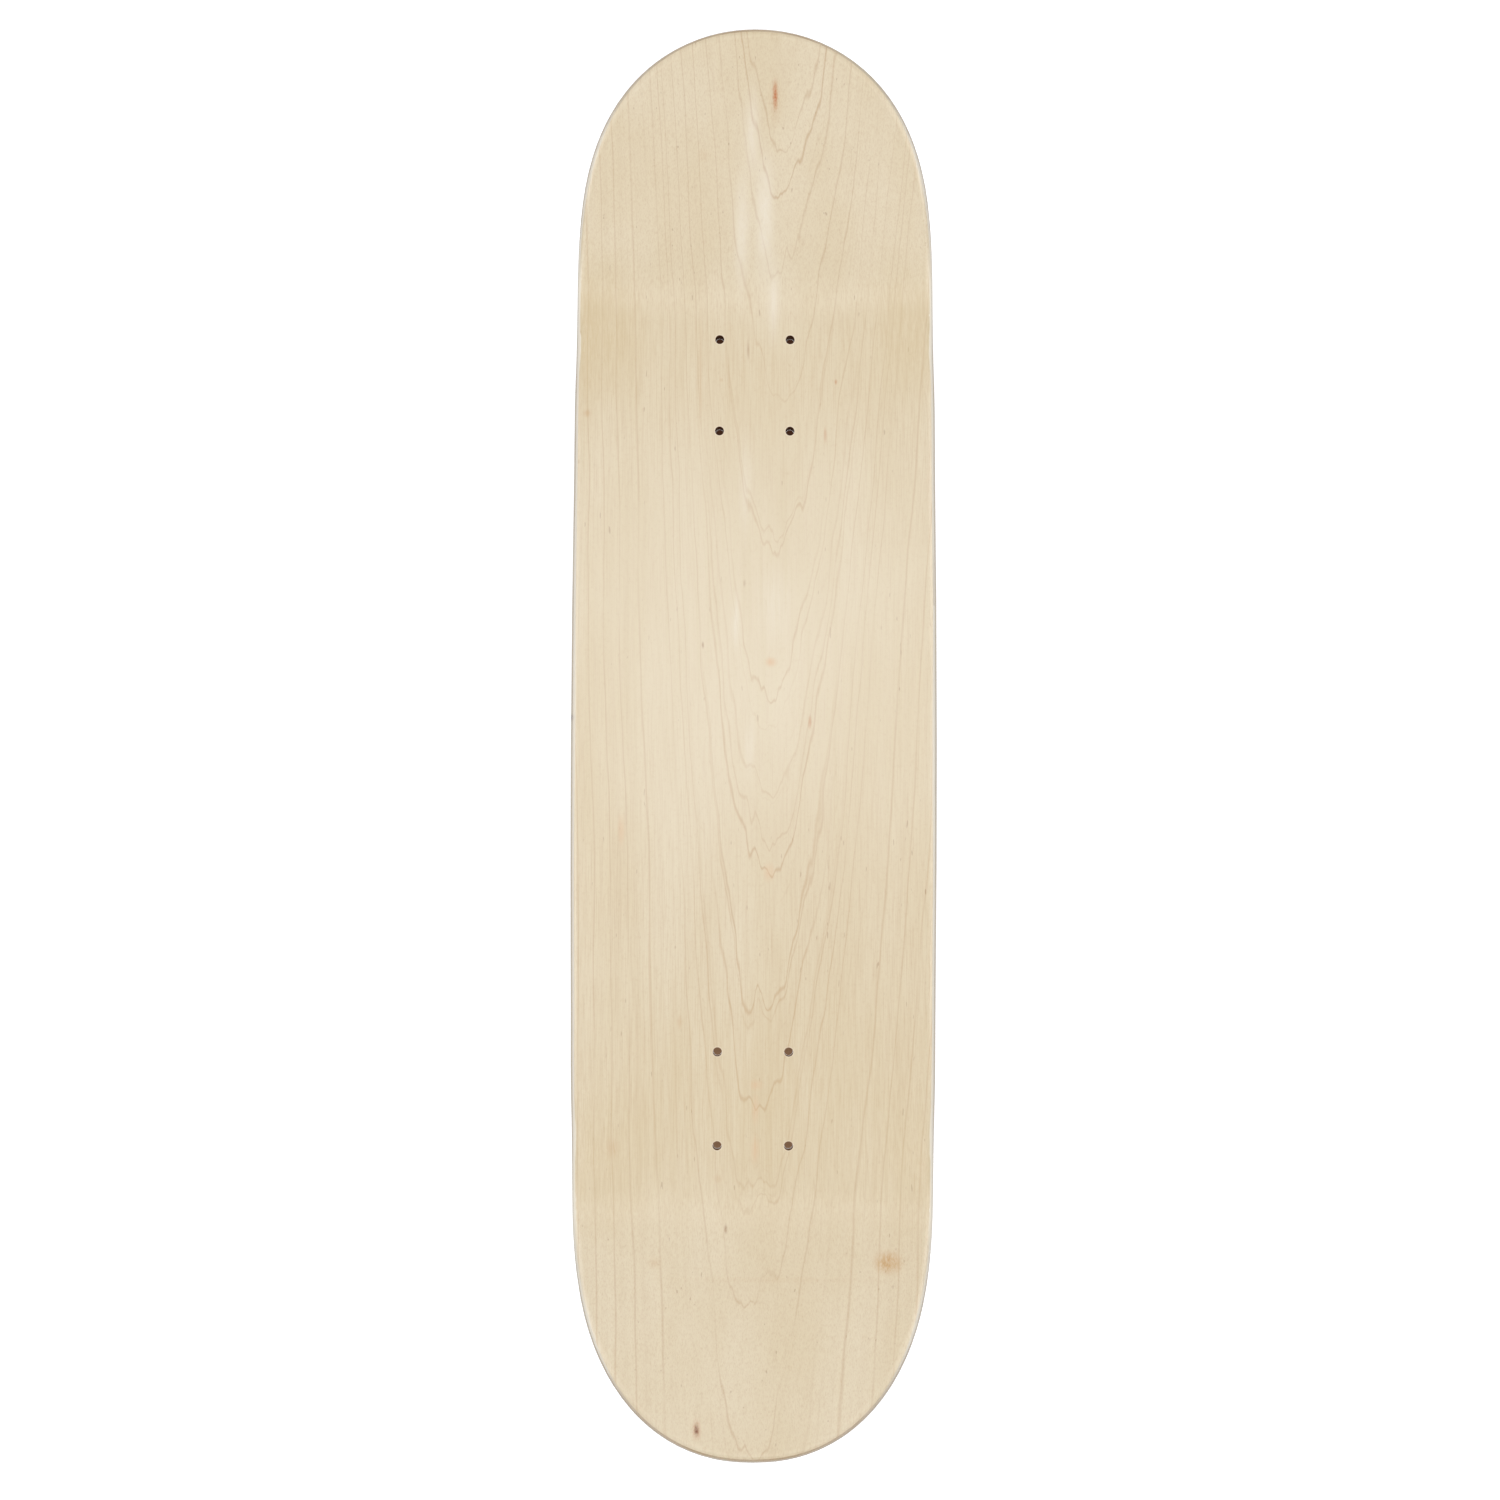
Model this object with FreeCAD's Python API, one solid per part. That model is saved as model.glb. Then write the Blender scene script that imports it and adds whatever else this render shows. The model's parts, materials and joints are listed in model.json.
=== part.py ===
import FreeCAD, Part
import math
import os
from BOPTools import SplitAPI

# Skateboard deck: seven maple veneers pressed to one curved shape, cut to one outline.
# X runs across the deck, Y along it with the nose at +Y, and Z up.
# The origin lies midway between the trucks, on the flat of the underside.
# Lengths are in millimetres and angles in degrees.

# Overall plan
deck_length = 812.8
deck_width = 212.7
nose_length = 170.5
waist_share = 0.058

# Rounded ends: how far each one reaches in from its tip, and how square it is
nose_round = 147.0
nose_side_power = 3.0
nose_tip_power = 2.03
tail_round = 147.0
tail_side_power = 2.6
tail_tip_power = 2.2

# Truck bolt holes
wheelbase = 361.95
bolt_spacing_along = 53.975
bolt_spacing_across = 41.275
bolt_hole_diameter = 5.16

# Veneers, from the face that is stood on down to the underside
face_veneer = 1.5
core_veneer = 1.6
crossband_veneer = 1.6
veneers = (
    ("ply_1_top_face", face_veneer),
    ("ply_2_upper_core", core_veneer),
    ("ply_3_upper_crossband", crossband_veneer),
    ("ply_4_centre_core", core_veneer),
    ("ply_5_lower_crossband", crossband_veneer),
    ("ply_6_lower_core", core_veneer),
    ("ply_7_bottom_face", face_veneer),
)

# Edge
edge_round = 4.0

# Raised ends: the flat past the outer bolts, the bend, and the slope after it
nose_flat_gap = 12.0
nose_bend = 47.0
nose_angle = 21.0
tail_flat_gap = 19.0
tail_bend = 47.0
tail_angle = 20.0

# Concave: a level strip along the middle, with the sides curving up from it.
# The strip reaches a gap past the bolts to each side. The concave is full to a gap
# past the inner bolts and least in the middle of each bend.
strip_side_gap = 9.4
concave_radius = 280.0
concave_full_gap = 19.0
concave_return = 62.0
bend_concave_share = 0.2
kick_concave_share = 0.75

# Seats of the trucks: their share of the level run past the bolts, to the sides and ends
seat_share = 0.62

# How finely the pressed sheet and the outline are laid out
along_step = 24.0
across_step = 20.0
middle_step = 160.0
outline_step = 60.0
end_point_count = 14
wall_face_count = 8

# Room past the finished outline for the pressed sheet and the cutter
sheet_margin = 14.0
cutter_overrun = 3.0

# How closely two places have to agree to count as one
place_tolerance = 0.004

# Worked out from the sizes above
outer_bolt = wheelbase / 2 + bolt_spacing_along
nose_reach = outer_bolt + nose_length
tail_reach = deck_length - nose_reach
half_width = deck_width / 2
half_strip = bolt_spacing_across / 2 + strip_side_gap
half_length = deck_length / 2
concave_full_end = wheelbase / 2 + concave_full_gap
deck_thickness = sum(thickness for name, thickness in veneers)
seat_half_width = bolt_spacing_across / 2 + seat_share * strip_side_gap
seat_half_length = outer_bolt + seat_share * min(nose_flat_gap, tail_flat_gap)


def smooth_step(share):
    """Value and slope of a step from 0 to 1 that is level at both ends."""
    share = min(max(share, 0.0), 1.0)
    return share * share * (3 - 2 * share), 6 * share * (1 - share)


def end_sizes(y):
    """Start of the bend, its length and the slope after it, for the end that y is on."""
    if y > 0:
        return outer_bolt + nose_flat_gap, nose_bend, math.tan(math.radians(nose_angle))
    return outer_bolt + tail_flat_gap, tail_bend, math.tan(math.radians(tail_angle))


def middle_rise(y):
    """Height and slope of the middle line: level, then an even bend, then straight."""
    start, bend, slope = end_sizes(y)
    past = max(abs(y) - start, 0.0)
    if past >= bend:
        return slope * (past - bend / 2), math.copysign(slope, y)
    return slope * past * past / (2 * bend), math.copysign(slope * past / bend, y)


def side_rise(x):
    """Height and slope of the full concave: a flat strip with an even curve each side."""
    past = max(abs(x) - half_strip, 0.0)
    return past * past / (2 * concave_radius), math.copysign(past / concave_radius, x)


def concave_share(y):
    """Share of the full concave at y and its slope: all between the trucks, least in the bends."""
    start, bend, slope = end_sizes(y)
    middle = start + bend / 2
    if abs(y) < middle:
        fade = middle - concave_full_end
        value, rate = smooth_step((abs(y) - concave_full_end) / fade)
        change, first = bend_concave_share - 1, 1.0
    else:
        fade = concave_return
        value, rate = smooth_step((abs(y) - middle) / fade)
        change, first = kick_concave_share - bend_concave_share, bend_concave_share
    return first + change * value, math.copysign(change * rate / fade, y)


def underside(x, y):
    """Height of the pressed underside."""
    return side_rise(x)[0] * concave_share(y)[0] + middle_rise(y)[0]


def underside_slopes(x, y):
    """Slopes of the underside across and along the deck."""
    rise, rise_slope = side_rise(x)
    share, share_slope = concave_share(y)
    return rise_slope * share, rise * share_slope + middle_rise(y)[1]


def pressed_point(x, y, height):
    """Point at a height above the underside, measured square to it."""
    slope_x, slope_y = underside_slopes(x, y)
    normal = FreeCAD.Vector(-slope_x, -slope_y, 1).normalize()
    return FreeCAD.Vector(x, y, underside(x, y)) + normal * height


def spread(start, end, step):
    """Even stations from start to end, no further apart than step."""
    count = max(1, math.ceil((end - start) / step))
    return [start + (end - start) * index / count for index in range(count + 1)]


def across_stations():
    """Knots across the sheet, close together where the flat strip ends."""
    edge = half_width + sheet_margin
    side = [seat_half_width, (seat_half_width + half_strip) / 2]
    side += spread(half_strip, edge, across_step)
    return [-x for x in reversed(side)] + [0.0] + side


def along_stations():
    """Knots along the sheet, close together where each bend starts."""
    ends = []
    for sign, reach in ((-1, tail_reach), (1, nose_reach)):
        bend_start = end_sizes(sign)[0]
        stations = spread(seat_half_length, bend_start, (bend_start - seat_half_length) / 2)
        ends.append(stations[:-1] + spread(bend_start, reach + sheet_margin, along_step))
    middle = spread(-seat_half_length, seat_half_length, middle_step)
    return [-y for y in reversed(ends[0])] + middle[1:-1] + ends[1]


def pole_places(stations):
    """The place of each pole of a smooth cubic whose knots are the stations."""
    knots = [stations[0]] * 3 + stations + [stations[-1]] * 3
    return [sum(knots[index + 1 : index + 4]) / 3 for index in range(len(knots) - 4)]


def pressed_surface(height):
    """The pressed sheet at a height above the underside, as one smooth surface."""
    across, along = across_stations(), along_stations()
    rows = pole_places(along)
    poles = [[pressed_point(x, y, height) for y in rows] for x in pole_places(across)]
    turns_across = [4] + [1] * (len(across) - 2) + [4]
    turns_along = [4] + [1] * (len(along) - 2) + [4]
    surface = Part.BSplineSurface()
    surface.buildFromPolesMultsKnots(poles, turns_across, turns_along, across, along, False, False, 3, 3)
    return surface


def pressed_sheet(height):
    """The pressed surface with the level seat of the trucks as a true plane."""
    corner = FreeCAD.Vector(-seat_half_width, -seat_half_length, height)
    seat = Part.makePlane(2 * seat_half_width, 2 * seat_half_length, corner)
    punch_start = seat.translated(FreeCAD.Vector(0, 0, -cutter_overrun))
    punch = punch_start.extrude(FreeCAD.Vector(0, 0, 2 * cutter_overrun))
    ring = pressed_surface(height).toShape().cut(punch).Faces
    sheet = Part.makeShell(ring + [seat])
    sheet.sewShape()
    return sheet


def waist_half_width(y, widest):
    """Half the width of the sides at y, which bow in a little towards the ends."""
    return widest * (1 - waist_share * (y / half_length) ** 2)


def corner_outset(slope):
    """How far the unrounded lower corner stands past the finished edge on a slope."""
    angle = math.atan(slope)
    return edge_round * (math.cos(angle) + math.sin(angle) - 1)


def outline_points():
    """Points of the unrounded lower edge, anticlockwise from the middle of the right side."""
    widest = half_width + corner_outset((half_width - half_strip) / concave_radius)
    nose_tip = nose_reach + corner_outset(math.tan(math.radians(nose_angle)))
    tail_tip = tail_reach + corner_outset(math.tan(math.radians(tail_angle)))
    quarters = []
    for tip, depth, side_power, tip_power in (
        (nose_tip, nose_round, nose_side_power, nose_tip_power),
        (-tail_tip, tail_round, tail_side_power, tail_tip_power),
    ):
        sign = math.copysign(1, tip)
        start = abs(tip) - depth
        quarter = [(waist_half_width(y, widest), sign * y) for y in spread(0.0, start, outline_step)]
        for index in range(1, end_point_count + 1):
            turn = math.pi / 2 * index / end_point_count
            y = start + depth * math.sin(turn) ** (2 / side_power)
            x = waist_half_width(y, widest) * max(math.cos(turn), 0.0) ** (2 / tip_power)
            quarter.append((x, sign * y))
        quarter[-1] = (0.0, tip)
        quarters.append(quarter)
    nose, tail = quarters
    points = nose + [(-x, y) for x, y in reversed(nose[:-1])]
    points += [(-x, y) for x, y in tail[1:]] + list(reversed(tail[1:-1]))
    return points


def rim_curve(height, points, parameters):
    """The outline carried to one height of the lay-up, as a closed smooth curve."""
    curve = Part.BSplineCurve()
    carried = [pressed_point(x, y, height) for x, y in points]
    curve.interpolate(Points=carried, PeriodicFlag=True, Parameters=parameters)
    return curve


def outline_wall():
    """The path of the cut: a band square to the pressed sheet all round the outline."""
    points = outline_points()
    parameters = [0.0]
    for start, end in zip(points, points[1:] + points[:1]):
        parameters.append(parameters[-1] + math.dist(start, end))
    lower = rim_curve(-cutter_overrun, points, parameters)
    upper = rim_curve(deck_thickness + cutter_overrun, points, parameters)
    whole = parameters[-1]
    bounds = [whole * index / wall_face_count for index in range(wall_face_count + 1)]
    faces = []
    for first, last in zip(bounds, bounds[1:]):
        faces.append(Part.makeRuledSurface(lower.toShape(first, last), upper.toShape(first, last)))
    wall = Part.makeShell(faces)
    wall.sewShape()
    return wall


def pressed_stock():
    """Upright block that the pressed sheets run right through."""
    side = half_width + sheet_margin / 2
    nose, tail = nose_reach + sheet_margin / 2, tail_reach + sheet_margin / 2
    highest = max(underside(side, nose), underside(side, -tail)) + 2 * deck_thickness
    corner = FreeCAD.Vector(-side, -tail, -deck_thickness)
    return Part.makeBox(2 * side, nose + tail, highest + deck_thickness, corner)


def layer_at(solids, height):
    """The solid that fills a height above the origin."""
    probe = FreeCAD.Vector(0, 0, height)
    return next(solid for solid in solids if solid.isInside(probe, place_tolerance, False))


def rim_edges(blank):
    """The edges where the cut wall meets the upper and lower faces, all the way round."""
    wall_edges = []
    for face in blank.Faces:
        first_u, last_u, first_v, last_v = face.ParameterRange
        normal = face.normalAt((first_u + last_u) / 2, (first_v + last_v) / 2)
        if abs(normal.z) < math.sin(math.pi / 4):
            wall_edges += face.Edges
    return [edge for edge in wall_edges if sum(edge.isSame(other) for other in wall_edges) == 1]


def shaped_blank(heights):
    """The pressed lay-up cut to its outline, with both rims rounded."""
    sheets = [pressed_sheet(heights[0]), pressed_sheet(heights[-1])]
    pieces = SplitAPI.slice(pressed_stock(), sheets + [outline_wall()], "Split")
    blank = layer_at(pieces.Solids, deck_thickness / 2)
    return blank.makeFillet(edge_round, rim_edges(blank))


def drill_truck_holes(blank):
    """Eight bolt holes, four for each truck, straight down through every veneer."""
    radius = bolt_hole_diameter / 2
    drill_height = deck_thickness + 2 * cutter_overrun
    drills = []
    for end in (-1, 1):
        for y in (wheelbase / 2, outer_bolt):
            for side in (-1, 1):
                base = FreeCAD.Vector(side * bolt_spacing_across / 2, end * y, -cutter_overrun)
                drills.append(Part.makeCylinder(radius, drill_height, base))
    return blank.cut(drills)


def split_into_veneers(blank, heights):
    """The drilled blank parted along its glue lines, lowest veneer first."""
    sheets = [pressed_sheet(height) for height in heights[1:-1]]
    pieces = SplitAPI.slice(blank, sheets, "Split")
    return [layer_at(pieces.Solids, (low + high) / 2) for low, high in zip(heights, heights[1:])]


def build_deck():
    """Every veneer of the deck by name."""
    heights = [0.0]
    for name, thickness in reversed(veneers):
        heights.append(heights[-1] + thickness)
    blank = drill_truck_holes(shaped_blank(heights))
    layers = split_into_veneers(blank, heights)
    names = [name for name, thickness in reversed(veneers)]
    return dict(zip(names, layers))


os.makedirs("parts", exist_ok=True)
for name, solid in build_deck().items():
    solid.exportStep(f"parts/{name}.step")
    print(name, "volume", round(solid.Volume), "valid", solid.isValid())
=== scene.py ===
import json
import math

import bpy
from mathutils import Matrix, Vector

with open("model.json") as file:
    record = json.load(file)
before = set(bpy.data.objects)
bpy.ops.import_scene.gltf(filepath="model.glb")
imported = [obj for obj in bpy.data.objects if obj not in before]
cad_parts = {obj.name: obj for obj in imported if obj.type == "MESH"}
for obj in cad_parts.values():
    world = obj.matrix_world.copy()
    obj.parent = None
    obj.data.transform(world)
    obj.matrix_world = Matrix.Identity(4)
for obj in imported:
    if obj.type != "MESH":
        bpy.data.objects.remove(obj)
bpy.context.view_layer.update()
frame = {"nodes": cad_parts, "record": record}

# Lengths are in metres and colours are 8-bit sRGB unless a name says otherwise

# Camera: almost straight above the deck, tilted a little towards the nose
PHOTO_SIDE = 1500
FOCAL_PIXELS = 2667
SENSOR_WIDTH = 36.0
CAMERA_PLACE = Vector((-0.00224, -0.08592, 1.561))
CAMERA_TILT = math.radians(2.95)
CAMERA_ROLL = math.radians(0.16)

camera_data = bpy.data.cameras.new("camera")
camera_data.sensor_width = SENSOR_WIDTH
camera_data.lens = SENSOR_WIDTH * FOCAL_PIXELS / PHOTO_SIDE
camera = bpy.data.objects.new("camera", camera_data)
camera.matrix_world = (
    Matrix.Translation(CAMERA_PLACE)
    @ Matrix.Rotation(CAMERA_TILT, 4, "X")
    @ Matrix.Rotation(CAMERA_ROLL, 4, "Z")
)
bpy.context.scene.collection.objects.link(camera)
bpy.context.scene.camera = camera
bpy.context.scene.view_settings.view_transform = "Standard"

top_face = frame["nodes"]["ply_1_top_face"]
view_turn = camera.matrix_world.to_3x3()


def on_face(pixel_x, pixel_y):
    """Point of the top face that the photo shows at a pixel, in metres."""
    across = (pixel_x - PHOTO_SIDE / 2) / FOCAL_PIXELS
    up = (PHOTO_SIDE / 2 - pixel_y) / FOCAL_PIXELS
    direction = (view_turn @ Vector((across, up, -1))).normalized()
    found, place, _, _ = top_face.ray_cast(CAMERA_PLACE, direction)
    if not found:
        reach = (CAMERA_PLACE.z - 0.011) / -direction.z
        place = CAMERA_PLACE + direction * reach
    return place


def linear(red, green, blue):
    """An sRGB colour as the linear values that shaders take."""
    parts = [value / 255 for value in (red, green, blue)]
    parts = [p / 12.92 if p <= 0.04045 else ((p + 0.055) / 1.055) ** 2.4 for p in parts]
    return (*parts, 1.0)


# Shader building blocks


class Shader:
    """The node tree of one material, with a short call for each kind of node."""

    def __init__(self, name):
        self.material = bpy.data.materials.new(name)
        self.material.use_nodes = True
        self.nodes = self.material.node_tree.nodes
        self.links = self.material.node_tree.links
        self.surface = self.nodes["Principled BSDF"]

    def put(self, socket, value):
        if isinstance(value, bpy.types.NodeSocket):
            self.links.new(value, socket)
        else:
            socket.default_value = value

    def node(self, kind, inputs=None, **settings):
        made = self.nodes.new(kind)
        for name, value in settings.items():
            setattr(made, name, value)
        for name, value in (inputs or {}).items():
            self.put(made.inputs[name], value)
        return made

    def maths(self, operation, *values):
        made = self.node("ShaderNodeMath", dict(enumerate(values)), operation=operation)
        return made.outputs[0]

    def total(self, *values):
        result = values[0]
        for value in values[1:]:
            result = self.maths("ADD", result, value)
        return result

    def ramp(self, value, low, high):
        """0 at low and 1 at high, with a smooth rise between them."""
        made = self.node(
            "ShaderNodeMapRange",
            {"Value": value, "From Min": low, "From Max": high},
            interpolation_type="SMOOTHSTEP",
        )
        return made.outputs["Result"]

    def noise(self, place, scale, detail=2.0, rough=0.5):
        made = self.node(
            "ShaderNodeTexNoise",
            {"Vector": place, "Scale": scale, "Detail": detail, "Roughness": rough},
        )
        return made.outputs[0]

    def stretched(self, place, *scale):
        """The same place with each axis scaled, for streaks along the grain."""
        made = self.node(
            "ShaderNodeVectorMath", {0: place, 1: scale}, operation="MULTIPLY"
        )
        return made.outputs[0]

    def mix(self, share, first, second):
        made = self.node("ShaderNodeMix", data_type="RGBA")
        self.put(made.inputs[0], share)
        self.put(made.inputs[6], first)
        self.put(made.inputs[7], second)
        return made.outputs[2]

    def spot(self, place, centre, half_width, half_height):
        """1 in the middle of a small ellipse, falling smoothly to 0 at its rim."""
        moved = self.node(
            "ShaderNodeVectorMath",
            {0: place, 1: (centre.x, centre.y, 0.0)},
            operation="SUBTRACT",
        )
        shaped = self.node(
            "ShaderNodeVectorMath",
            {0: moved.outputs[0], 1: (1 / half_width, 1 / half_height, 0.0)},
            operation="MULTIPLY",
        )
        size = self.node(
            "ShaderNodeVectorMath", {0: shaped.outputs[0]}, operation="LENGTH"
        )
        return self.ramp(size.outputs["Value"], 1.0, 0.0)


MILLIMETRE = 0.001
PIXEL = 0.5814 * MILLIMETRE

# Truck bolt holes: half the spacing across, middle of a group, half its length, radius
HOLE_ACROSS = 20.6375 * MILLIMETRE
HOLE_GROUP = 207.9625 * MILLIMETRE
HOLE_ALONG = 26.9875 * MILLIMETRE
HOLE_RADIUS = 2.58 * MILLIMETRE


def hole_distance(shader, place):
    """Distance in the plane from the axis of the nearest bolt hole."""
    parts = shader.node("ShaderNodeSeparateXYZ", {0: place})
    across = shader.maths("SUBTRACT", shader.maths("ABSOLUTE", parts.outputs[0]), HOLE_ACROSS)
    along = shader.maths("SUBTRACT", shader.maths("ABSOLUTE", parts.outputs[1]), HOLE_GROUP)
    along = shader.maths("SUBTRACT", shader.maths("ABSOLUTE", along), HOLE_ALONG)
    return shader.maths(
        "SQRT",
        shader.maths("ADD", shader.maths("MULTIPLY", across, across),
                     shader.maths("MULTIPLY", along, along)),
    )


# Painted shade for the walls of the bolt holes
HOLE_WALL_SHADE = (112, 76, 50)
PALE_RIM = (240, 226, 203)


def drilled(shader, place, colour):
    """The colour with a pale rim round each bolt hole and painted shade darkening the walls in it.
    """
    distance = hole_distance(shader, place)
    rim = shader.maths(
        "SUBTRACT",
        shader.ramp(distance, HOLE_RADIUS + 0.9 * MILLIMETRE, HOLE_RADIUS + 0.1 * MILLIMETRE),
        shader.ramp(distance, HOLE_RADIUS + 0.1 * MILLIMETRE, HOLE_RADIUS),
    )
    colour = shader.mix(shader.maths("MULTIPLY", rim, 0.35), colour, linear(*PALE_RIM))
    # Painted shade: the walls of each hole are coloured dark
    wall = shader.ramp(distance, HOLE_RADIUS + 0.08 * MILLIMETRE, HOLE_RADIUS + 0.02 * MILLIMETRE)
    return shader.mix(wall, colour, linear(*HOLE_WALL_SHADE))


# Wood


def face_wood(name, seed, tint, figure, tips, marks):
    """A lacquered maple face veneer with cathedral figure pointing to the tail."""
    s = Shader(name)
    place = s.node("ShaderNodeTexCoord").outputs["Object"]
    moved = s.node(
        "ShaderNodeVectorMath", {0: place, 1: (0.0, seed, 0.0)}, operation="ADD"
    ).outputs[0]
    parts = s.node("ShaderNodeSeparateXYZ", {0: place})
    x, y = parts.outputs[0], parts.outputs[1]

    # The line that the figure follows leans and wanders slowly from side to side
    wander = s.noise(s.stretched(moved, 0.0, 1.0, 0.0), 5.5, 1.0)
    axis = s.total(
        figure * 9.0 * MILLIMETRE,
        s.maths("MULTIPLY", y, figure * 0.022),
        s.maths("MULTIPLY", s.maths("SUBTRACT", wander, 0.5), 7 * MILLIMETRE),
    )
    aside = s.maths("ABSOLUTE", s.maths("SUBTRACT", x, axis))
    aside = s.maths("SMOOTH_MAX", aside, 3 * MILLIMETRE, 6 * MILLIMETRE)

    # Each growth ring is a line of equal ring depth, steeper further from the middle
    ripple = s.maths("SUBTRACT", s.noise(s.stretched(moved, 46.0, 7.0, 0.0), 1.0, 2.5, 0.55), 0.5)
    tremor = s.maths("SUBTRACT", s.noise(s.stretched(moved, 150.0, 25.0, 0.0), 1.0, 2.0), 0.5)
    square = s.maths("MULTIPLY", aside, aside)
    depth = s.total(
        s.maths("MULTIPLY", y, -1.0),
        s.maths("MULTIPLY", square, 130.0),
        s.maths("MULTIPLY", ripple, 0.10),
        s.maths("MULTIPLY", tremor, 0.022),
    )
    far = s.maths("SMOOTH_MAX", s.maths("SUBTRACT", depth, 0.42), 0.0, 0.1)
    depth = s.maths("MULTIPLY_ADD", far, -0.66, depth)
    steepness = s.maths("MINIMUM", s.maths("MULTIPLY_ADD", aside, 240.0, 1.2), 9.0)

    def ring_lines(per_metre, half_width):
        """Thin lines on irregularly spaced rings, as wide on the flanks as at the tips."""
        rings = s.node(
            "ShaderNodeTexVoronoi",
            {"W": s.maths("ADD", depth, seed), "Scale": per_metre, "Randomness": 0.9},
            voronoi_dimensions="1D",
            feature="DISTANCE_TO_EDGE",
        )
        aways = s.maths("DIVIDE", rings.outputs["Distance"], steepness)
        return s.ramp(aways, per_metre * half_width, 0.0)

    def both(first, second):
        return s.maths("MULTIPLY", first, second)

    presence = s.ramp(s.noise(s.stretched(moved, 34.0, 9.0, 0.0), 1.0, 2.0), 0.28, 0.52)
    absence = s.ramp(s.noise(s.stretched(moved, 60.0, 14.0, 9.0), 1.0, 2.0), 0.42, 0.66)
    main_line = both(ring_lines(12.0, 0.62 * MILLIMETRE), presence)
    fine_line = both(ring_lines(44.0, 0.45 * MILLIMETRE), absence)
    band = s.node("ShaderNodeTexNoise", {"W": s.maths("MULTIPLY", depth, 24.0), "Scale": 1.0,
                                         "Detail": 2.0}, noise_dimensions="1D").outputs[0]

    # Fibres, pores and flecks along the grain
    fibre = s.noise(s.stretched(moved, 1700.0, 36.0, 1700.0), 1.0, 2.0, 0.7)
    strands = s.noise(s.stretched(moved, 330.0, 7.0, 330.0), 1.0, 3.0, 0.65)
    clouds = s.noise(s.stretched(moved, 26.0, 8.0, 26.0), 1.0, 2.0)
    mottle = s.noise(s.stretched(moved, 620.0, 420.0, 620.0), 1.0, 2.0, 0.7)
    fleck = s.ramp(s.noise(s.stretched(moved, 640.0, 110.0, 640.0), 1.0, 1.0), 0.74, 0.80)

    pale, warm, brown, fleck_brown = (linear(*c) for c in tint)
    colour = s.mix(s.ramp(clouds, 0.25, 0.75), pale, warm)
    for layer, strength in (
        (s.ramp(band, 0.35, 0.75), 0.05),
        (main_line, 0.33),
        (fine_line, 0.12),
        (s.ramp(strands, 0.50, 0.78), 0.09),
        (s.ramp(fibre, 0.40, 0.80), 0.28),
        (s.ramp(mottle, 0.45, 0.80), 0.14),
    ):
        colour = s.mix(s.maths("MULTIPLY", layer, strength), colour, brown)
    colour = s.mix(s.maths("MULTIPLY", fleck, 0.40), colour, fleck_brown)

    for tip, reach, strength in tips:
        away = s.maths("ABSOLUTE", s.maths("SUBTRACT", depth, tip))
        line = s.ramp(s.maths("DIVIDE", away, steepness), 0.8 * MILLIMETRE, 0.0)
        near = s.ramp(aside, reach, reach / 3)
        colour = s.mix(both(both(line, near), strength), colour, brown)

    # Marks have ragged sides, as the fibres that carry them do; some marks are painted light and
    # shade
    ragged = s.node(
        "ShaderNodeVectorMath",
        {0: s.node("ShaderNodeCombineXYZ", {0: both(ripple, 7 * MILLIMETRE)}).outputs[0], 1: place},
        operation="ADD",
    ).outputs[0]
    for pixel_x, pixel_y, width, height, shade, strength in marks:
        spot = s.spot(ragged, on_face(pixel_x, pixel_y), width * PIXEL, height * PIXEL)
        streaks = s.ramp(s.maths("ADD", fibre, strands), 0.80, 1.15)
        share = both(spot, s.maths("MULTIPLY_ADD", streaks, strength * 0.6, strength * 0.6))
        colour = s.mix(share, colour, linear(*shade))

    colour = drilled(s, place, colour)
    grain = s.total(both(fibre, 0.6), both(strands, 0.3), both(mottle, 0.25))
    finish(s, colour, grain, 0.46, 0.10, 0.00006, 0.35)
    return s.material


# A small dark knot in the left edge of the deck
EDGE_KNOT = Vector((-106.5 * MILLIMETRE, on_face(576, 717).y, 0.0))
EDGE_KNOT_BROWN = (92, 60, 42)


def edge_wood(name, tint, end_tint, end_axis, seed):
    """The sanded edge of a ply: long fibres on one side, open end grain on the other."""
    s = Shader(name)
    place = s.node("ShaderNodeTexCoord").outputs["Object"]
    moved = s.node(
        "ShaderNodeVectorMath", {0: place, 1: (seed, seed, seed)}, operation="ADD"
    ).outputs[0]
    normal = s.node("ShaderNodeNewGeometry").outputs["Normal"]
    towards = s.node("ShaderNodeSeparateXYZ", {0: normal}).outputs[end_axis]
    end_grain = s.ramp(s.maths("ABSOLUTE", towards), 0.25, 0.75)

    along = [900.0, 900.0, 900.0]
    along[end_axis] = 25.0
    fibre = s.noise(s.stretched(moved, *along), 1.0, 3.0, 0.6)
    pores = s.noise(s.stretched(moved, 1500.0, 1500.0, 1500.0), 1.0, 2.0, 0.6)
    patches = s.noise(s.stretched(moved, 45.0, 45.0, 400.0), 1.0, 2.0)

    colour = s.mix(s.ramp(patches, 0.3, 0.7), linear(*tint[0]), linear(*tint[1]))
    colour = s.mix(s.maths("MULTIPLY", s.ramp(fibre, 0.4, 0.8), 0.3), colour, linear(*tint[2]))
    cut = s.mix(s.ramp(patches, 0.3, 0.7), linear(*end_tint[0]), linear(*end_tint[1]))
    cut = s.mix(s.maths("MULTIPLY", s.ramp(pores, 0.45, 0.75), 0.45), cut, linear(*end_tint[2]))
    colour = s.mix(end_grain, colour, cut)
    knot = s.spot(place, EDGE_KNOT, 5 * MILLIMETRE, 2.8 * MILLIMETRE)
    colour = s.mix(s.maths("MULTIPLY", knot, 0.85), colour, linear(*EDGE_KNOT_BROWN))
    colour = drilled(s, place, colour)
    grain = s.maths("ADD", s.maths("MULTIPLY", fibre, 0.6), s.maths("MULTIPLY", pores, 0.5))
    finish(s, colour, grain, 0.46, 0.14, 0.00008, 0.3)
    return s.material


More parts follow.
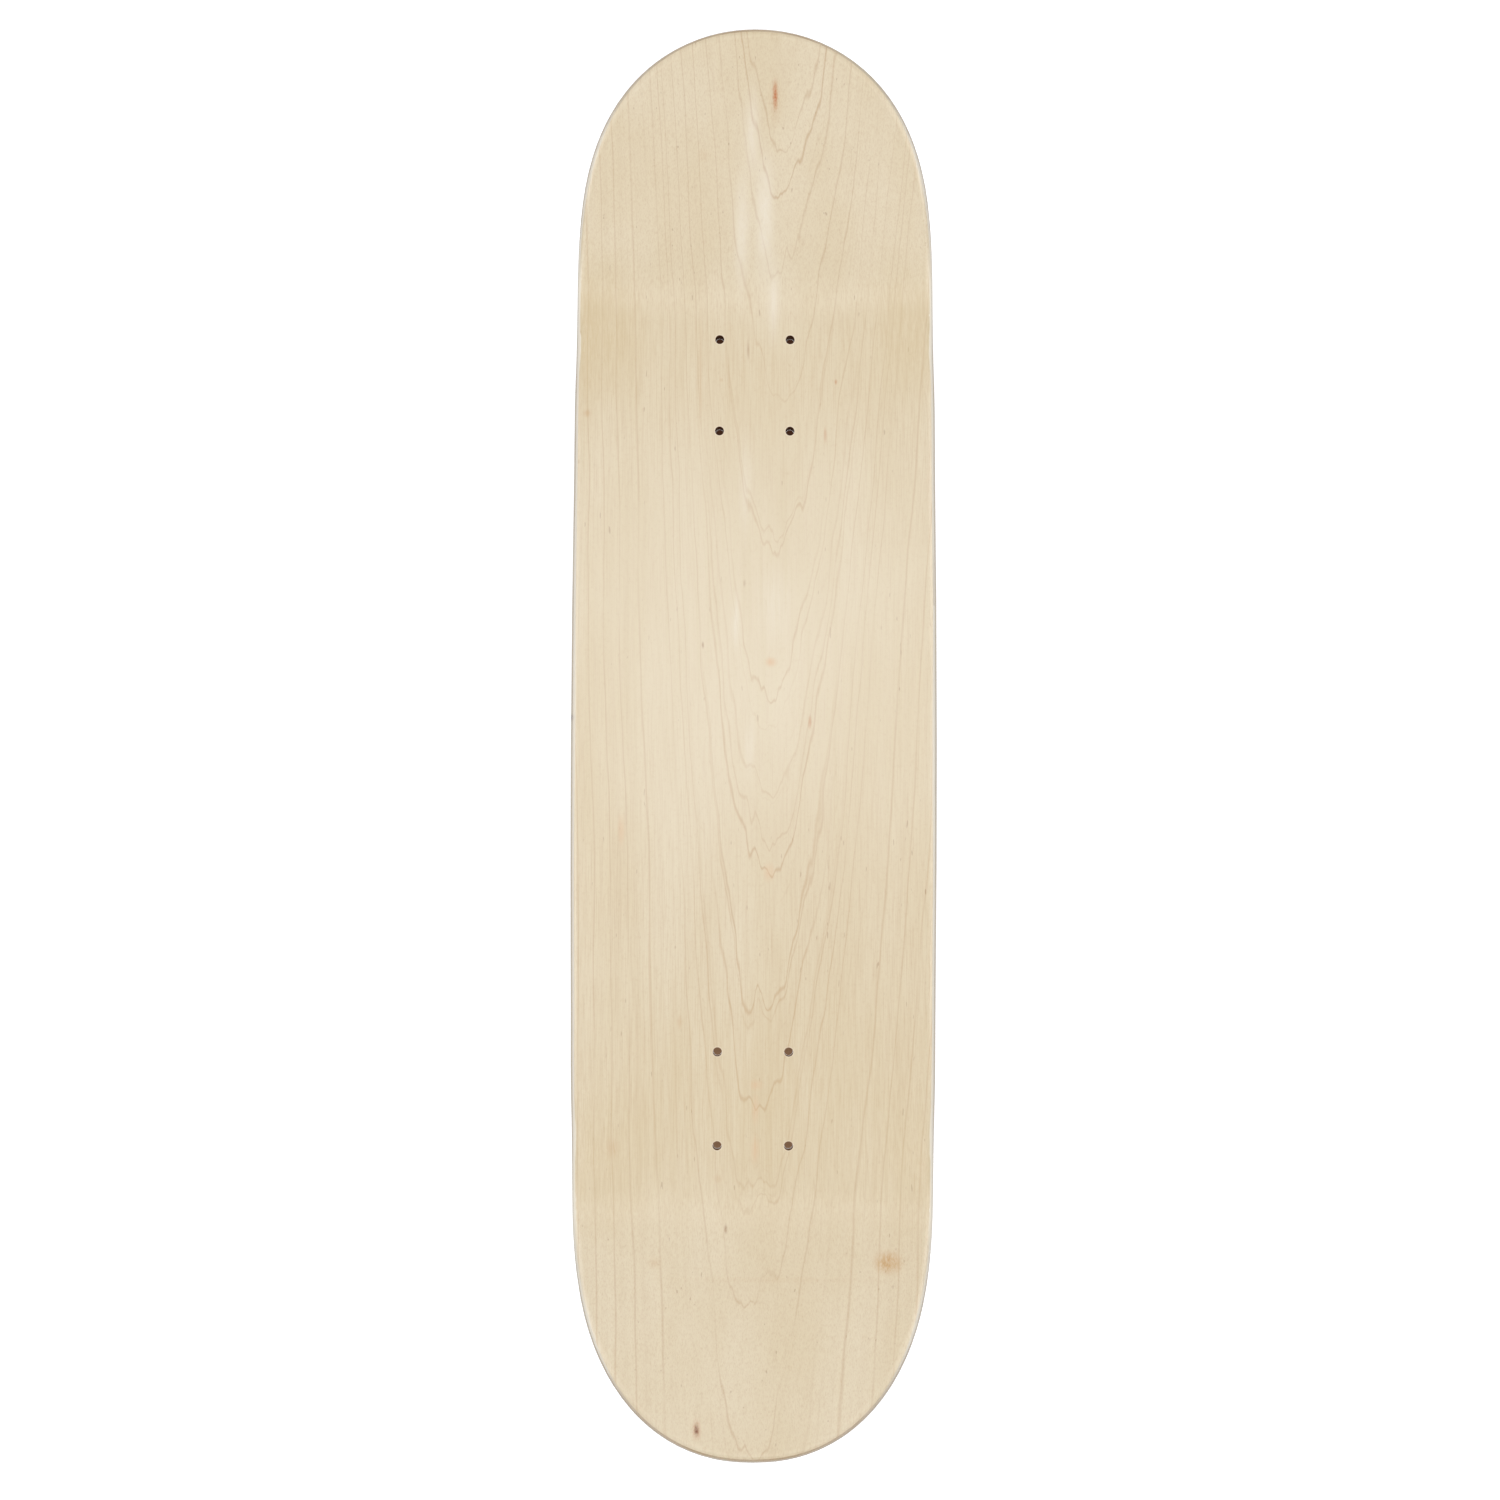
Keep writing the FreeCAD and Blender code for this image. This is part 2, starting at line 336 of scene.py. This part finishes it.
COAT_ROUGHNESS = 0.24
RIM_ROUGHNESS_DROP = -0.45
# Painted highlight: the pale colour that the rounded rails get along their length
PAINTED_RAIL_HIGHLIGHT = (250, 243, 228)


def finish(s, colour, grain, rough, rough_spread, bump_depth, coat):
    """Joins colour, roughness and bump to the surface and puts clear lacquer on it."""
    # The rounded rims are sealed smoother than the faces, and along the rails a painted highlight
    # makes them paler
    normal = s.node("ShaderNodeNewGeometry").outputs["Normal"]
    facing = s.node("ShaderNodeSeparateXYZ", {0: normal})
    endwards = s.maths("ABSOLUTE", facing.outputs[1])
    upright = s.maths("ABSOLUTE", facing.outputs[2])
    rim = s.ramp(upright, 0.92, 0.86)
    rounded = s.maths("MULTIPLY", rim, s.ramp(upright, 0.25, 0.45))
    rail = s.maths("MULTIPLY", rounded, s.ramp(endwards, 0.35, 0.1))
    colour = s.mix(s.maths("MULTIPLY", rail, 0.75), colour, linear(*PAINTED_RAIL_HIGHLIGHT))
    s.put(s.surface.inputs["Base Color"], colour)
    rough_low, rough_high = rough - rough_spread / 2, rough + rough_spread / 2
    made = s.node(
        "ShaderNodeMapRange",
        {"Value": grain, "From Min": 0.3, "From Max": 0.9,
         "To Min": rough_low, "To Max": rough_high},
    )
    rim_gloss = s.maths("MULTIPLY_ADD", rim, RIM_ROUGHNESS_DROP, 1.0)
    rough = s.maths("MULTIPLY", made.outputs["Result"], rim_gloss)
    s.put(s.surface.inputs["Roughness"], rough)
    bump = s.node(
        "ShaderNodeBump", {"Height": grain, "Distance": bump_depth, "Strength": 0.6}
    )
    s.put(s.surface.inputs["Normal"], bump.outputs[0])
    s.put(s.surface.inputs["Coat Weight"], coat)
    s.put(s.surface.inputs["Coat Roughness"], COAT_ROUGHNESS)


WHITE_STREAK = (238, 230, 215)
PALE_TONE_AND_LIGHT = (234, 222, 199)
GOLD_TONE_AND_SHADE = (207, 185, 142)
PINK = (220, 180, 140)
TAN = (200, 164, 120)
RUST = (186, 104, 40)
BROWN = (142, 84, 38)
DARK = (116, 60, 18)

# Ring tips of the photographed figure: where down the photo, reach to each side, strength
photo_tips = (
    (185, 60, 0.5), (545, 40, 0.45), (672, 34, 0.5), (800, 60, 0.3),
    (882, 60, 0.5), (1000, 50, 0.45), (1088, 40, 0.5), (1180, 60, 0.25),
)
top_tips = [
    (-on_face(770, pixel_y).y + 5 * MILLIMETRE, reach * MILLIMETRE, strength)
    for pixel_y, reach, strength in photo_tips
]

# Marks of the photographed face: pixel x and y, half width and half height, colour, strength
top_marks = (
    # The pale middle patch is partly the wood's tone and partly painted light; the gold patches at
    # the bends and towards the tail are partly the wood's tone and partly painted shade
    (752, 640, 320, 340, PALE_TONE_AND_LIGHT, 0.42),
    (752, 1110, 330, 190, GOLD_TONE_AND_SHADE, 0.32),
    (752, 375, 330, 110, GOLD_TONE_AND_SHADE, 0.18),
    (592, 325, 90, 110, GOLD_TONE_AND_SHADE, 0.50),
    (912, 325, 90, 110, GOLD_TONE_AND_SHADE, 0.45),
    (592, 1165, 90, 100, GOLD_TONE_AND_SHADE, 0.30),
    (912, 1165, 90, 100, GOLD_TONE_AND_SHADE, 0.20),
    (752, 130, 12, 60, WHITE_STREAK, 0.40),
    (741, 235, 12, 80, WHITE_STREAK, 0.42),
    (764, 215, 14, 90, WHITE_STREAK, 0.50),
    (773, 300, 10, 60, WHITE_STREAK, 0.40),
    (745, 490, 9, 70, WHITE_STREAK, 0.25),
    (775, 605, 26, 55, WHITE_STREAK, 0.22),
    (736, 622, 5, 40, WHITE_STREAK, 0.35),
    (750, 745, 8, 40, WHITE_STREAK, 0.25),
    (775, 102, 8, 30, TAN, 0.45),
    (775, 96, 3.6, 19, RUST, 0.95),
    (697, 1430, 6, 13, RUST, 0.45),
    (697, 1430, 3, 8, DARK, 0.95),
    (888, 1263, 19, 15, (196, 152, 96), 0.85),
    (612, 1148, 9, 15, TAN, 0.42),
    (717, 1179, 5, 7, TAN, 0.42),
    (655, 1263, 9, 8, TAN, 0.35),
    (587, 413, 6, 6, TAN, 0.5),
    (700, 375, 2.5, 90, TAN, 0.30),
    (748, 350, 2, 14, BROWN, 0.35),
    (825, 435, 2.5, 12, RUST, 0.35),
    (838, 382, 2.5, 4, RUST, 0.5),
    (744, 583, 1.8, 6, BROWN, 0.4),
    (703, 645, 1.8, 5, BROWN, 0.4),
    (811, 722, 2.5, 10, RUST, 0.5),
    (770, 662, 9, 7, PINK, 0.55),
    (724, 1229, 2, 7, BROWN, 0.5),
    (680, 1022, 4, 10, TAN, 0.35),
    (755, 1110, 5, 22, PINK, 0.45),
    (755, 1150, 6, 20, PINK, 0.45),
    (755, 1085, 10, 8, PINK, 0.4),
    (770, 872, 8, 14, PINK, 0.4),
    (622, 830, 6, 22, PINK, 0.35),
    (705, 155, 10, 9, TAN, 0.2),
    (720, 380, 3, 3, TAN, 0.4),
    (780, 1280, 150, 4, TAN, 0.13),
)

face_tint = ((224, 210, 182), (218, 202, 170), (184, 145, 100), (152, 106, 70))
under_tint = ((221, 204, 172), (211, 190, 153), (174, 133, 88), (144, 98, 64))
under_tips = [(tip, 50 * MILLIMETRE, 0.45) for tip in (-0.29, -0.14, -0.03, 0.12, 0.21)]
core_tint = ((220, 208, 188), (212, 197, 172), (186, 158, 126))
core_ends = ((200, 178, 148), (188, 162, 128), (148, 114, 84))

materials = {
    "top_face_maple": face_wood("top_face_maple", 0.0, face_tint, 1.0, top_tips, top_marks),
    "bottom_face_maple": face_wood("bottom_face_maple", 3.7, under_tint, -1.0, under_tips, ()),
    "core_maple": edge_wood("core_maple", core_tint, core_ends, 1, 0.0),
    "crossband_maple": edge_wood("crossband_maple", core_tint, core_ends, 0, 5.3),
}
for subpart in frame["record"]["subparts"]:
    piece = frame["nodes"][subpart["node"]]
    piece.data.materials.clear()
    piece.data.materials.append(materials[subpart["material_slot"]])


# Light: a broad panel over the deck, one beyond each end and one beside each rail


def panel(name, place, target, width, length, level):
    """A rectangular lamp that looks as bright as the level, where 1 is white."""
    data = bpy.data.lights.new(name, "AREA")
    data.shape = "RECTANGLE"
    data.size = width
    data.size_y = length
    data.energy = level * math.pi * width * length
    lamp = bpy.data.objects.new(name, data)
    lamp.location = place
    aim = Vector(target) - Vector(place)
    lamp.rotation_euler = aim.to_track_quat("-Z", "Y").to_euler()
    bpy.context.scene.collection.objects.link(lamp)
    return lamp


panel("over_deck", (0.0, 0.2, 2.3), (0.0, 0.2, 0.0), 2.2, 0.5, 2.75)
panel("for_tail", (0.0, 1.25, 2.2), (0.0, 0.0, 0.0), 2.2, 0.6, 2.0)
panel("for_nose", (0.0, -1.1, 2.2), (0.0, 0.0, 0.0), 2.2, 0.6, 3.1)
# The lamps beside the rails show in the gloss alone
for side in (-1, 1):
    rail_lamp = panel("rail", (side * 1.3, 0.15, 1.35), (0.0, 0.15, 0.0), 1.4, 0.7, 4.2)
    rail_lamp.visible_diffuse = False

# Stage: a pale floor, and a disc of painted shade at the foot of each bolt hole


def clear_from_below(shader):
    """Lets rays that come from underneath pass through the surface."""
    below = shader.node("ShaderNodeNewGeometry").outputs["Backfacing"]
    clear = shader.node("ShaderNodeBsdfTransparent").outputs[0]
    solid = shader.surface.outputs[0]
    either = shader.node("ShaderNodeMixShader", {0: below, 1: solid, 2: clear})
    shader.put(shader.nodes["Material Output"].inputs["Surface"], either.outputs[0])


def stage_sheet(name, corners, material):
    """A flat sheet that is not part of the deck."""
    mesh = bpy.data.meshes.new(name)
    mesh.from_pydata(corners, [], [range(len(corners))])
    mesh.materials.append(material)
    sheet = bpy.data.objects.new(name, mesh)
    bpy.context.scene.collection.objects.link(sheet)


def hole_shade_material(name, tint):
    """Painted shade for the bolt holes: a dim sheet that glows faintly."""
    hole_shade = Shader(name)
    shade_place = hole_shade.node("ShaderNodeTexCoord").outputs["Object"]
    shade_tone = hole_shade.mix(hole_shade.noise(shade_place, 900.0, 3.0), linear(*tint[0]), linear(*tint[1]))
    hole_shade.put(hole_shade.surface.inputs["Base Color"], shade_tone)
    # The painted shade glows faintly, though it is no lamp
    hole_shade.put(hole_shade.surface.inputs["Emission Color"], shade_tone)
    hole_shade.put(hole_shade.surface.inputs["Emission Strength"], 0.9)
    hole_shade.put(hole_shade.surface.inputs["Roughness"], 0.9)
    clear_from_below(hole_shade)
    return hole_shade.material


DISC_HEIGHT = 0.3 * MILLIMETRE
DISC_RADIUS = 2.5 * MILLIMETRE
DISC_CORNERS = 24
# Painted shade under the holes: darker under the nose holes than under the tail holes
hole_shade_sheets = {
    1: hole_shade_material("nose_hole_shade", ((48, 28, 18), (70, 42, 28))),
    -1: hole_shade_material("tail_hole_shade", ((112, 84, 60), (130, 102, 80))),
}
for end, side, row in ((e, i, j) for e in (-1, 1) for i in (-1, 1) for j in (-1, 1)):
    centre = Vector((side * HOLE_ACROSS, end * HOLE_GROUP + row * HOLE_ALONG, DISC_HEIGHT))
    turns = [2 * math.pi * step / DISC_CORNERS for step in range(DISC_CORNERS)]
    rim = [centre + DISC_RADIUS * Vector((math.cos(t), math.sin(t), 0)) for t in turns]
    stage_sheet("hole_shade_disc", rim, hole_shade_sheets[end])

# The floor lies half a metre below, as the photo shows no shadow next to the deck
FLOOR_HEIGHT = -0.5
FLOOR_HALF_SIDE = 6.0
FLOOR_WHITENING = 0.6
paint = Shader("floor_paint")
paint.put(paint.surface.inputs["Base Color"], (0.7, 0.7, 0.7, 1.0))
paint.put(paint.surface.inputs["Roughness"], 0.9)
paint.put(paint.surface.inputs["Emission Color"], (1.0, 1.0, 1.0, 1.0))
rays = paint.node("ShaderNodeLightPath").outputs
seen_straight = paint.maths("MAXIMUM", rays["Is Camera Ray"], rays["Is Transmission Ray"])
whitening = paint.maths("MULTIPLY", seen_straight, FLOOR_WHITENING)
paint.put(paint.surface.inputs["Emission Strength"], whitening)
clear_from_below(paint)
floor_corners = [
    (i * FLOOR_HALF_SIDE, j * FLOOR_HALF_SIDE, FLOOR_HEIGHT)
    for i, j in ((-1, -1), (1, -1), (1, 1), (-1, 1))
]
stage_sheet("floor", floor_corners, paint.material)

# The world is white where it is seen and dimmer as a light
WORLD_LIGHT = 0.6
world = bpy.data.worlds.new("studio")
bpy.context.scene.world = world
world.use_nodes = True
tree = world.node_tree
seen = tree.nodes.new("ShaderNodeLightPath")
straight = tree.nodes.new("ShaderNodeMath")
straight.operation = "MAXIMUM"
tree.links.new(seen.outputs["Is Camera Ray"], straight.inputs[0])
tree.links.new(seen.outputs["Is Transmission Ray"], straight.inputs[1])
level = tree.nodes.new("ShaderNodeMapRange")
level.inputs["To Min"].default_value = WORLD_LIGHT
level.inputs["To Max"].default_value = 1.0
tree.links.new(straight.outputs[0], level.inputs["Value"])
background = tree.nodes["Background"]
background.inputs["Color"].default_value = (1.0, 1.0, 1.0, 1.0)
tree.links.new(level.outputs["Result"], background.inputs["Strength"])
